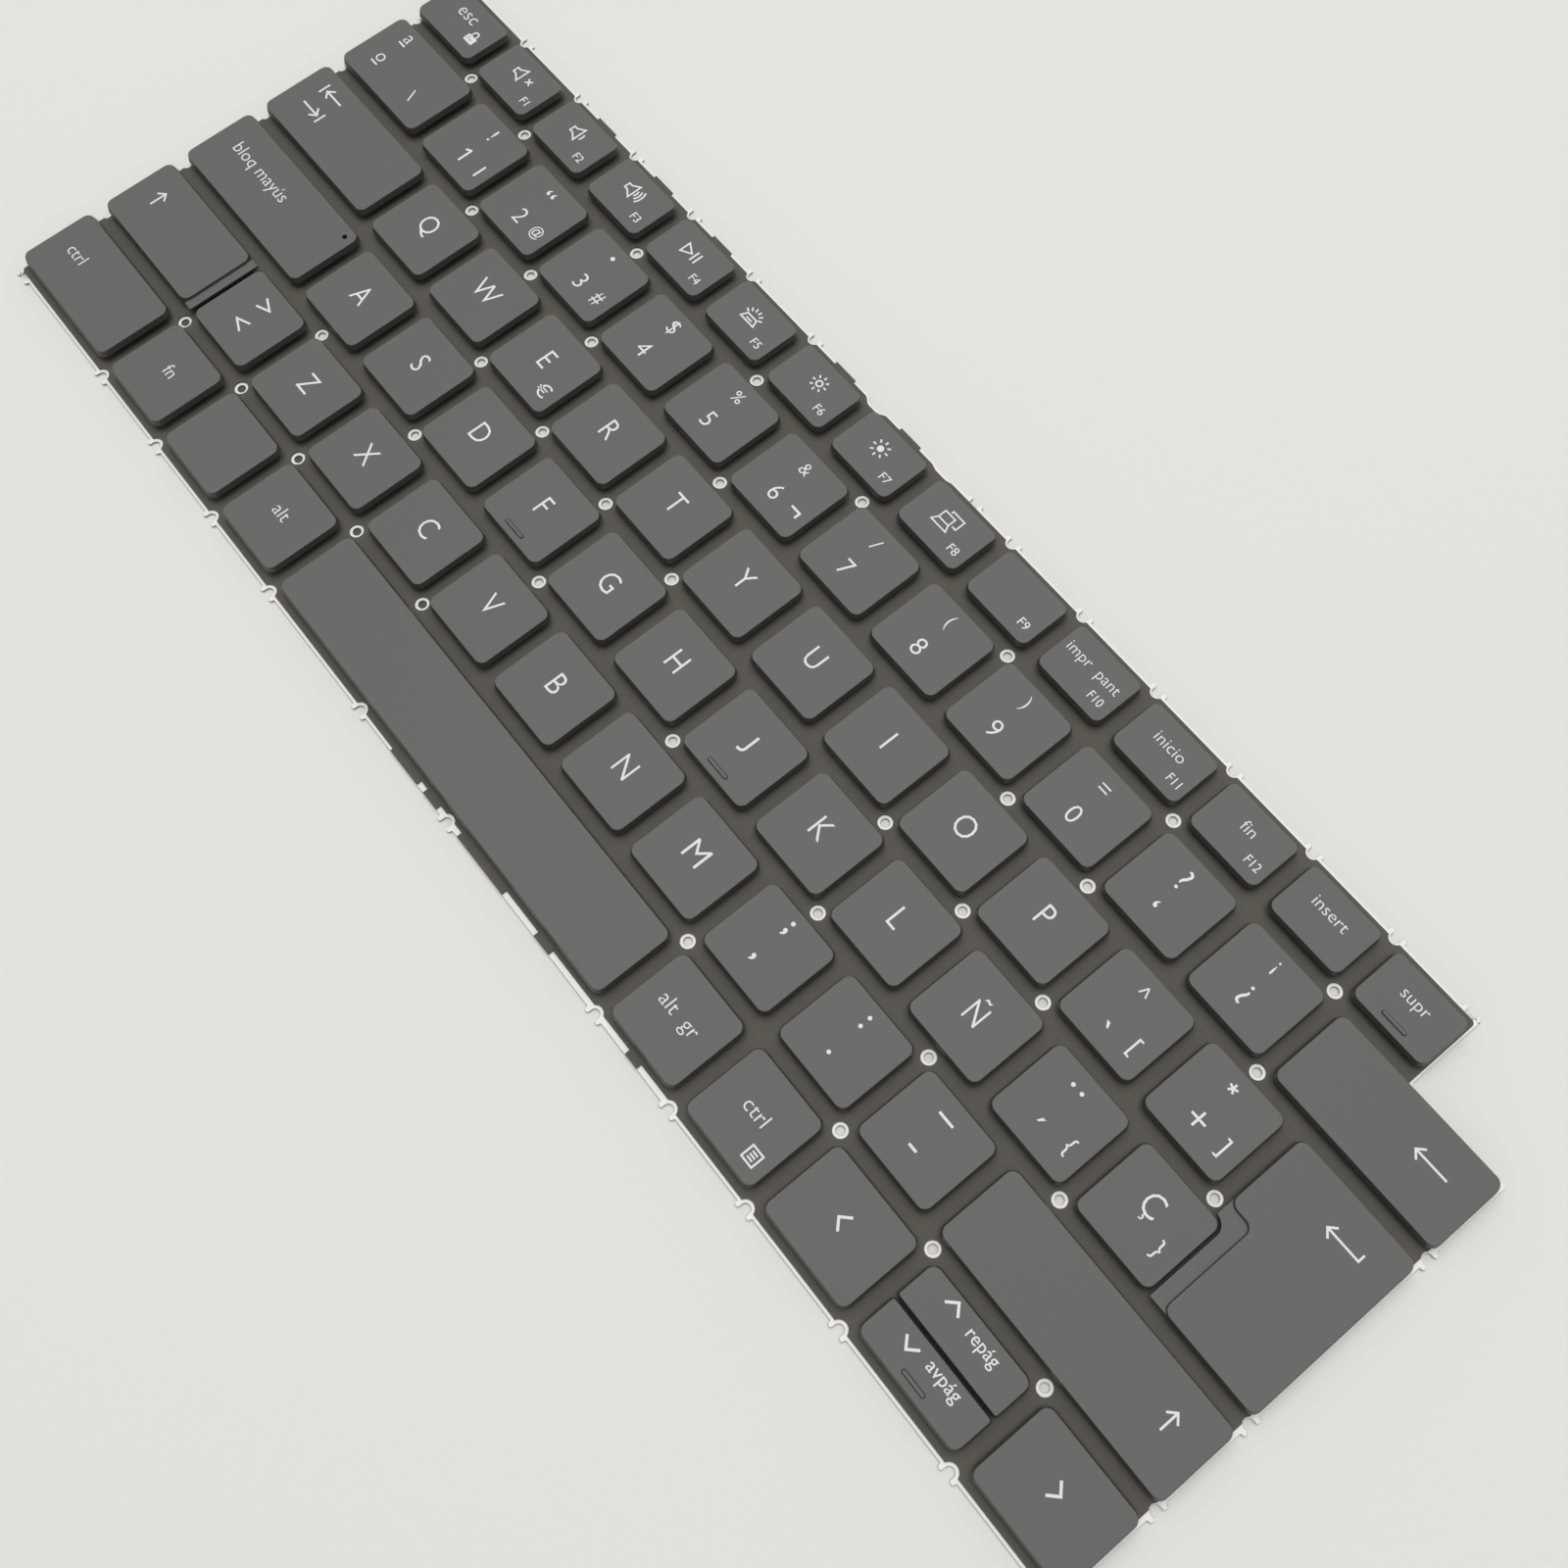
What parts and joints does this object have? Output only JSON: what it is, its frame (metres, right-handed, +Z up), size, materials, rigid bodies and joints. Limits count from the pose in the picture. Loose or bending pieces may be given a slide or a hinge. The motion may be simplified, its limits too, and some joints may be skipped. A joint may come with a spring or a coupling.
{
  "type": "laptop keyboard",
  "caption": "Slim laptop keyboard module: low flat key caps that press on rubber domes over a dark switch film and a stamped metal plate with stake holes and a notched rim.",
  "frame": {"origin": "middle of the support plate, on its underside", "axes": "+X along the key rows to the right, +Y to the function row, +Z up through the key caps"},
  "size_m": [0.2912, 0.1064, 0.0037],
  "materials": {
    "cap_plastic": "fine moulded grain, dark grey",
    "plate_metal": "bare stamped sheet",
    "membrane_film": "dull printed film",
    "dome_rubber": "soft silicone"
  },
  "bodies": {
    "base": {"base_plate": "plate_metal", "function_row_caps": "cap_plastic", "number_row_caps": "cap_plastic", "rubber_domes": "dome_rubber", "switch_membrane": "membrane_film"},
    "key_a": {"key_a": "cap_plastic"},
    "key_acute": {"key_acute": "cap_plastic"},
    "key_alt": {"key_alt": "cap_plastic"},
    "key_alt_gr": {"key_alt_gr": "cap_plastic"},
    "key_arrow_down": {"key_arrow_down": "cap_plastic"},
    "key_arrow_left": {"key_arrow_left": "cap_plastic"},
    "key_arrow_right": {"key_arrow_right": "cap_plastic"},
    "key_arrow_up": {"key_arrow_up": "cap_plastic"},
    "key_b": {"key_b": "cap_plastic"},
    "key_backspace": {"key_backspace": "cap_plastic"},
    "key_c": {"key_c": "cap_plastic"},
    "key_c_cedilla": {"key_c_cedilla": "cap_plastic"},
    "key_caps_lock": {"key_caps_lock": "cap_plastic"},
    "key_comma": {"key_comma": "cap_plastic"},
    "key_ctrl_left": {"key_ctrl_left": "cap_plastic"},
    "key_ctrl_right": {"key_ctrl_right": "cap_plastic"},
    "key_d": {"key_d": "cap_plastic"},
    "key_e": {"key_e": "cap_plastic"},
    "key_enter": {"key_enter": "cap_plastic"},
    "key_f": {"key_f": "cap_plastic"},
    "key_fn": {"key_fn": "cap_plastic"},
    "key_g": {"key_g": "cap_plastic"},
    "key_grave": {"key_grave": "cap_plastic"},
    "key_h": {"key_h": "cap_plastic"},
    "key_i": {"key_i": "cap_plastic"},
    "key_j": {"key_j": "cap_plastic"},
    "key_k": {"key_k": "cap_plastic"},
    "key_l": {"key_l": "cap_plastic"},
    "key_less_than": {"key_less_than": "cap_plastic"},
    "key_m": {"key_m": "cap_plastic"},
    "key_minus": {"key_minus": "cap_plastic"},
    "key_n": {"key_n": "cap_plastic"},
    "key_n_tilde": {"key_n_tilde": "cap_plastic"},
    "key_o": {"key_o": "cap_plastic"},
    "key_p": {"key_p": "cap_plastic"},
    "key_period": {"key_period": "cap_plastic"},
    "key_plus": {"key_plus": "cap_plastic"},
    "key_q": {"key_q": "cap_plastic"},
    "key_r": {"key_r": "cap_plastic"},
    "key_s": {"key_s": "cap_plastic"},
    "key_shift_left": {"key_shift_left": "cap_plastic"},
    "key_shift_right": {"key_shift_right": "cap_plastic"},
    "key_space": {"key_space": "cap_plastic"},
    "key_super": {"key_super": "cap_plastic"},
    "key_t": {"key_t": "cap_plastic"},
    "key_tab": {"key_tab": "cap_plastic"},
    "key_u": {"key_u": "cap_plastic"},
    "key_v": {"key_v": "cap_plastic"},
    "key_w": {"key_w": "cap_plastic"},
    "key_x": {"key_x": "cap_plastic"},
    "key_y": {"key_y": "cap_plastic"},
    "key_z": {"key_z": "cap_plastic"}
  },
  "joints": [
    {"name": "key_a_press", "type": "slide", "parent": "base", "child": "key_a", "axis": [0, 0, 1], "range_m": [-0.0013, 0], "stiffness_N_per_m": 400, "springref_m": 0.0007, "deforming": ["rubber_domes"]},
    {"name": "key_acute_press", "type": "slide", "parent": "base", "child": "key_acute", "axis": [0, 0, 1], "range_m": [-0.0013, 0], "stiffness_N_per_m": 400, "springref_m": 0.0007, "deforming": ["rubber_domes"]},
    {"name": "key_alt_press", "type": "slide", "parent": "base", "child": "key_alt", "axis": [0, 0, 1], "range_m": [-0.0013, 0], "stiffness_N_per_m": 400, "springref_m": 0.0007, "deforming": ["rubber_domes"]},
    {"name": "key_alt_gr_press", "type": "slide", "parent": "base", "child": "key_alt_gr", "axis": [0, 0, 1], "range_m": [-0.0013, 0], "stiffness_N_per_m": 400, "springref_m": 0.0007, "deforming": ["rubber_domes"]},
    {"name": "key_arrow_down_press", "type": "slide", "parent": "base", "child": "key_arrow_down", "axis": [0, 0, 1], "range_m": [-0.0013, 0], "stiffness_N_per_m": 400, "springref_m": 0.0007, "deforming": ["rubber_domes"]},
    {"name": "key_arrow_left_press", "type": "slide", "parent": "base", "child": "key_arrow_left", "axis": [0, 0, 1], "range_m": [-0.0013, 0], "stiffness_N_per_m": 400, "springref_m": 0.0007, "deforming": ["rubber_domes"]},
    {"name": "key_arrow_right_press", "type": "slide", "parent": "base", "child": "key_arrow_right", "axis": [0, 0, 1], "range_m": [-0.0013, 0], "stiffness_N_per_m": 400, "springref_m": 0.0007, "deforming": ["rubber_domes"]},
    {"name": "key_arrow_up_press", "type": "slide", "parent": "base", "child": "key_arrow_up", "axis": [0, 0, 1], "range_m": [-0.0013, 0], "stiffness_N_per_m": 400, "springref_m": 0.0007, "deforming": ["rubber_domes"]},
    {"name": "key_b_press", "type": "slide", "parent": "base", "child": "key_b", "axis": [0, 0, 1], "range_m": [-0.0013, 0], "stiffness_N_per_m": 400, "springref_m": 0.0007, "deforming": ["rubber_domes"]},
    {"name": "key_backspace_press", "type": "slide", "parent": "base", "child": "key_backspace", "axis": [0, 0, 1], "range_m": [-0.0013, 0], "stiffness_N_per_m": 400, "springref_m": 0.0007, "deforming": ["rubber_domes"]},
    {"name": "key_c_press", "type": "slide", "parent": "base", "child": "key_c", "axis": [0, 0, 1], "range_m": [-0.0013, 0], "stiffness_N_per_m": 400, "springref_m": 0.0007, "deforming": ["rubber_domes"]},
    {"name": "key_c_cedilla_press", "type": "slide", "parent": "base", "child": "key_c_cedilla", "axis": [0, 0, 1], "range_m": [-0.0013, 0], "stiffness_N_per_m": 400, "springref_m": 0.0007, "deforming": ["rubber_domes"]},
    {"name": "key_caps_lock_press", "type": "slide", "parent": "base", "child": "key_caps_lock", "axis": [0, 0, 1], "range_m": [-0.0013, 0], "stiffness_N_per_m": 400, "springref_m": 0.0007, "deforming": ["rubber_domes"]},
    {"name": "key_comma_press", "type": "slide", "parent": "base", "child": "key_comma", "axis": [0, 0, 1], "range_m": [-0.0013, 0], "stiffness_N_per_m": 400, "springref_m": 0.0007, "deforming": ["rubber_domes"]},
    {"name": "key_ctrl_left_press", "type": "slide", "parent": "base", "child": "key_ctrl_left", "axis": [0, 0, 1], "range_m": [-0.0013, 0], "stiffness_N_per_m": 400, "springref_m": 0.0007, "deforming": ["rubber_domes"]},
    {"name": "key_ctrl_right_press", "type": "slide", "parent": "base", "child": "key_ctrl_right", "axis": [0, 0, 1], "range_m": [-0.0013, 0], "stiffness_N_per_m": 400, "springref_m": 0.0007, "deforming": ["rubber_domes"]},
    {"name": "key_d_press", "type": "slide", "parent": "base", "child": "key_d", "axis": [0, 0, 1], "range_m": [-0.0013, 0], "stiffness_N_per_m": 400, "springref_m": 0.0007, "deforming": ["rubber_domes"]},
    {"name": "key_e_press", "type": "slide", "parent": "base", "child": "key_e", "axis": [0, 0, 1], "range_m": [-0.0013, 0], "stiffness_N_per_m": 400, "springref_m": 0.0007, "deforming": ["rubber_domes"]},
    {"name": "key_enter_press", "type": "slide", "parent": "base", "child": "key_enter", "axis": [0, 0, 1], "range_m": [-0.0013, 0], "stiffness_N_per_m": 400, "springref_m": 0.0007, "deforming": ["rubber_domes"]},
    {"name": "key_f_press", "type": "slide", "parent": "base", "child": "key_f", "axis": [0, 0, 1], "range_m": [-0.0013, 0], "stiffness_N_per_m": 400, "springref_m": 0.0007, "deforming": ["rubber_domes"]},
    {"name": "key_fn_press", "type": "slide", "parent": "base", "child": "key_fn", "axis": [0, 0, 1], "range_m": [-0.0013, 0], "stiffness_N_per_m": 400, "springref_m": 0.0007, "deforming": ["rubber_domes"]},
    {"name": "key_g_press", "type": "slide", "parent": "base", "child": "key_g", "axis": [0, 0, 1], "range_m": [-0.0013, 0], "stiffness_N_per_m": 400, "springref_m": 0.0007, "deforming": ["rubber_domes"]},
    {"name": "key_grave_press", "type": "slide", "parent": "base", "child": "key_grave", "axis": [0, 0, 1], "range_m": [-0.0013, 0], "stiffness_N_per_m": 400, "springref_m": 0.0007, "deforming": ["rubber_domes"]},
    {"name": "key_h_press", "type": "slide", "parent": "base", "child": "key_h", "axis": [0, 0, 1], "range_m": [-0.0013, 0], "stiffness_N_per_m": 400, "springref_m": 0.0007, "deforming": ["rubber_domes"]},
    {"name": "key_i_press", "type": "slide", "parent": "base", "child": "key_i", "axis": [0, 0, 1], "range_m": [-0.0013, 0], "stiffness_N_per_m": 400, "springref_m": 0.0007, "deforming": ["rubber_domes"]},
    {"name": "key_j_press", "type": "slide", "parent": "base", "child": "key_j", "axis": [0, 0, 1], "range_m": [-0.0013, 0], "stiffness_N_per_m": 400, "springref_m": 0.0007, "deforming": ["rubber_domes"]},
    {"name": "key_k_press", "type": "slide", "parent": "base", "child": "key_k", "axis": [0, 0, 1], "range_m": [-0.0013, 0], "stiffness_N_per_m": 400, "springref_m": 0.0007, "deforming": ["rubber_domes"]},
    {"name": "key_l_press", "type": "slide", "parent": "base", "child": "key_l", "axis": [0, 0, 1], "range_m": [-0.0013, 0], "stiffness_N_per_m": 400, "springref_m": 0.0007, "deforming": ["rubber_domes"]},
    {"name": "key_less_than_press", "type": "slide", "parent": "base", "child": "key_less_than", "axis": [0, 0, 1], "range_m": [-0.0013, 0], "stiffness_N_per_m": 400, "springref_m": 0.0007, "deforming": ["rubber_domes"]},
    {"name": "key_m_press", "type": "slide", "parent": "base", "child": "key_m", "axis": [0, 0, 1], "range_m": [-0.0013, 0], "stiffness_N_per_m": 400, "springref_m": 0.0007, "deforming": ["rubber_domes"]},
    {"name": "key_minus_press", "type": "slide", "parent": "base", "child": "key_minus", "axis": [0, 0, 1], "range_m": [-0.0013, 0], "stiffness_N_per_m": 400, "springref_m": 0.0007, "deforming": ["rubber_domes"]},
    {"name": "key_n_press", "type": "slide", "parent": "base", "child": "key_n", "axis": [0, 0, 1], "range_m": [-0.0013, 0], "stiffness_N_per_m": 400, "springref_m": 0.0007, "deforming": ["rubber_domes"]},
    {"name": "key_n_tilde_press", "type": "slide", "parent": "base", "child": "key_n_tilde", "axis": [0, 0, 1], "range_m": [-0.0013, 0], "stiffness_N_per_m": 400, "springref_m": 0.0007, "deforming": ["rubber_domes"]},
    {"name": "key_o_press", "type": "slide", "parent": "base", "child": "key_o", "axis": [0, 0, 1], "range_m": [-0.0013, 0], "stiffness_N_per_m": 400, "springref_m": 0.0007, "deforming": ["rubber_domes"]},
    {"name": "key_p_press", "type": "slide", "parent": "base", "child": "key_p", "axis": [0, 0, 1], "range_m": [-0.0013, 0], "stiffness_N_per_m": 400, "springref_m": 0.0007, "deforming": ["rubber_domes"]},
    {"name": "key_period_press", "type": "slide", "parent": "base", "child": "key_period", "axis": [0, 0, 1], "range_m": [-0.0013, 0], "stiffness_N_per_m": 400, "springref_m": 0.0007, "deforming": ["rubber_domes"]},
    {"name": "key_plus_press", "type": "slide", "parent": "base", "child": "key_plus", "axis": [0, 0, 1], "range_m": [-0.0013, 0], "stiffness_N_per_m": 400, "springref_m": 0.0007, "deforming": ["rubber_domes"]},
    {"name": "key_q_press", "type": "slide", "parent": "base", "child": "key_q", "axis": [0, 0, 1], "range_m": [-0.0013, 0], "stiffness_N_per_m": 400, "springref_m": 0.0007, "deforming": ["rubber_domes"]},
    {"name": "key_r_press", "type": "slide", "parent": "base", "child": "key_r", "axis": [0, 0, 1], "range_m": [-0.0013, 0], "stiffness_N_per_m": 400, "springref_m": 0.0007, "deforming": ["rubber_domes"]},
    {"name": "key_s_press", "type": "slide", "parent": "base", "child": "key_s", "axis": [0, 0, 1], "range_m": [-0.0013, 0], "stiffness_N_per_m": 400, "springref_m": 0.0007, "deforming": ["rubber_domes"]},
    {"name": "key_shift_left_press", "type": "slide", "parent": "base", "child": "key_shift_left", "axis": [0, 0, 1], "range_m": [-0.0013, 0], "stiffness_N_per_m": 400, "springref_m": 0.0007, "deforming": ["rubber_domes"]},
    {"name": "key_shift_right_press", "type": "slide", "parent": "base", "child": "key_shift_right", "axis": [0, 0, 1], "range_m": [-0.0013, 0], "stiffness_N_per_m": 400, "springref_m": 0.0007, "deforming": ["rubber_domes"]},
    {"name": "key_space_press", "type": "slide", "parent": "base", "child": "key_space", "axis": [0, 0, 1], "range_m": [-0.0013, 0], "stiffness_N_per_m": 400, "springref_m": 0.0007, "deforming": ["rubber_domes"]},
    {"name": "key_super_press", "type": "slide", "parent": "base", "child": "key_super", "axis": [0, 0, 1], "range_m": [-0.0013, 0], "stiffness_N_per_m": 400, "springref_m": 0.0007, "deforming": ["rubber_domes"]},
    {"name": "key_t_press", "type": "slide", "parent": "base", "child": "key_t", "axis": [0, 0, 1], "range_m": [-0.0013, 0], "stiffness_N_per_m": 400, "springref_m": 0.0007, "deforming": ["rubber_domes"]},
    {"name": "key_tab_press", "type": "slide", "parent": "base", "child": "key_tab", "axis": [0, 0, 1], "range_m": [-0.0013, 0], "stiffness_N_per_m": 400, "springref_m": 0.0007, "deforming": ["rubber_domes"]},
    {"name": "key_u_press", "type": "slide", "parent": "base", "child": "key_u", "axis": [0, 0, 1], "range_m": [-0.0013, 0], "stiffness_N_per_m": 400, "springref_m": 0.0007, "deforming": ["rubber_domes"]},
    {"name": "key_v_press", "type": "slide", "parent": "base", "child": "key_v", "axis": [0, 0, 1], "range_m": [-0.0013, 0], "stiffness_N_per_m": 400, "springref_m": 0.0007, "deforming": ["rubber_domes"]},
    {"name": "key_w_press", "type": "slide", "parent": "base", "child": "key_w", "axis": [0, 0, 1], "range_m": [-0.0013, 0], "stiffness_N_per_m": 400, "springref_m": 0.0007, "deforming": ["rubber_domes"]},
    {"name": "key_x_press", "type": "slide", "parent": "base", "child": "key_x", "axis": [0, 0, 1], "range_m": [-0.0013, 0], "stiffness_N_per_m": 400, "springref_m": 0.0007, "deforming": ["rubber_domes"]},
    {"name": "key_y_press", "type": "slide", "parent": "base", "child": "key_y", "axis": [0, 0, 1], "range_m": [-0.0013, 0], "stiffness_N_per_m": 400, "springref_m": 0.0007, "deforming": ["rubber_domes"]},
    {"name": "key_z_press", "type": "slide", "parent": "base", "child": "key_z", "axis": [0, 0, 1], "range_m": [-0.0013, 0], "stiffness_N_per_m": 400, "springref_m": 0.0007, "deforming": ["rubber_domes"]}
  ]
}
